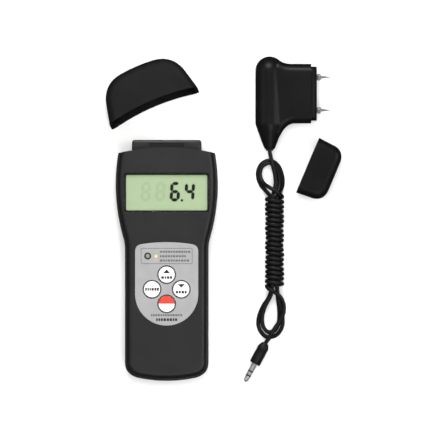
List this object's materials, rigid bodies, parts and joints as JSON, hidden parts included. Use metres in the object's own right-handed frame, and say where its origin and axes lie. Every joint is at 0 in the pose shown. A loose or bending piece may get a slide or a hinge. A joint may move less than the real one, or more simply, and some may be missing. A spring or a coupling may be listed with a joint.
{
  "type": "moisture meter",
  "caption": "Hand-held moisture meter with a wide measuring head, a display and a round keypad, laid out with its head cover, two-pin probe, wound lead and pin cap.",
  "frame": {"origin": "centre of the meter's flat back, half way along its length", "axes": "+X across the meter, +Y towards the measuring head's end, +Z out of the display face; the loose pieces lie on the same surface"},
  "size_m": [0.1618, 0.2236, 0.0266],
  "materials": {
    "casing": "fine matt texture",
    "cover": "fine matt texture",
    "probe_casing": "satin",
    "rubber": "matt",
    "window": "clear polished",
    "lcd": "satin",
    "label": "satin silver",
    "key": "satin",
    "lamp": "diffusing",
    "board": "solder mask",
    "chip": "matt",
    "steel": "bright",
    "brass": "turned",
    "cell": "printed sleeve",
    "cord": "satin"
  },
  "bodies": {
    "meter": {"front_housing": "casing", "rear_housing": "casing", "search_sensor": "rubber", "case_screw_1": "steel", "case_screw_2": "steel", "case_screw_3": "steel", "case_screw_4": "steel", "neck_block": "casing", "jack_socket": "steel", "window_gasket": "rubber", "display_window": "window", "lcd_panel": "lcd", "lcd_tray": "rubber", "zebra_strip": "rubber", "keypad_label": "label", "key_mat": "rubber", "status_lamp": "lamp", "main_board": "board", "board_chip": "chip", "cell_1": "cell", "cell_2": "cell", "cell_3": "cell", "cell_4": "cell", "contact_strip_top": "steel", "contact_strip_foot": "steel", "cell_spring_1": "steel", "cell_spring_2": "steel", "cell_spring_3": "steel", "cell_spring_4": "steel"},
    "key_up": {"key_up": "key"},
    "key_select": {"key_select": "key"},
    "key_down": {"key_down": "key"},
    "key_power": {"key_power": "key"},
    "battery_door": {"battery_door": "casing"},
    "sensor_cover": {"sensor_cover": "cover"},
    "probe": {"probe_upper_shell": "probe_casing", "probe_lower_shell": "probe_casing", "probe_screw_1": "steel", "probe_screw_2": "steel", "cord_bush": "rubber", "pin_carrier": "probe_casing", "pin_socket_upper": "brass", "pin_socket_lower": "brass", "needle_upper": "steel", "needle_lower": "steel", "lead_tail": "cord", "lead_foot_loop_1": "cord", "lead_top_loop_1": "cord", "lead_foot_loop_2": "cord", "lead_top_loop_2": "cord", "lead_end": "cord", "lead_wrap": "cord", "plug_body": "rubber", "plug_sleeve": "steel", "plug_ring": "steel", "plug_tip": "steel", "plug_insulator": "chip"},
    "needle_nut_upper": {"needle_nut_upper": "steel"},
    "needle_nut_lower": {"needle_nut_lower": "steel"},
    "pin_cap": {"pin_cap": "probe_casing"}
  },
  "joints": [
    {"name": "key_up_press", "type": "slide", "parent": "meter", "child": "key_up", "axis": [0, 0, -1], "range_m": [0, 0.0008], "stiffness_N_per_m": 1500},
    {"name": "key_select_press", "type": "slide", "parent": "meter", "child": "key_select", "axis": [0, 0, -1], "range_m": [0, 0.0008], "stiffness_N_per_m": 1500},
    {"name": "key_down_press", "type": "slide", "parent": "meter", "child": "key_down", "axis": [0, 0, -1], "range_m": [0, 0.0008], "stiffness_N_per_m": 1500},
    {"name": "key_power_press", "type": "slide", "parent": "meter", "child": "key_power", "axis": [0, 0, -1], "range_m": [0, 0.0008], "stiffness_N_per_m": 1500},
    {"name": "battery_door_slide", "type": "slide", "parent": "meter", "child": "battery_door", "axis": [0, -1, 0], "range_m": [0, 0.062]},
    {"name": "sensor_cover_lift", "type": "slide", "parent": "meter", "child": "sensor_cover", "axis": [0, 0, 1], "range_m": [0, 0.06]},
    {"name": "probe_lift", "type": "slide", "parent": "meter", "child": "probe", "axis": [0, 0, 1], "range_m": [0, 0.06]},
    {"name": "pin_cap_lift", "type": "slide", "parent": "meter", "child": "pin_cap", "axis": [0, 0, 1], "range_m": [0, 0.06]},
    {"name": "needle_nut_upper_turn", "type": "hinge", "parent": "probe", "child": "needle_nut_upper", "pos_m": [0.1051, 0.1258, 0.0098], "axis": [1, 0, 0], "continuous": true},
    {"name": "needle_nut_lower_turn", "type": "hinge", "parent": "probe", "child": "needle_nut_lower", "pos_m": [0.1051, 0.1031, 0.0098], "axis": [1, 0, 0], "continuous": true}
  ]
}
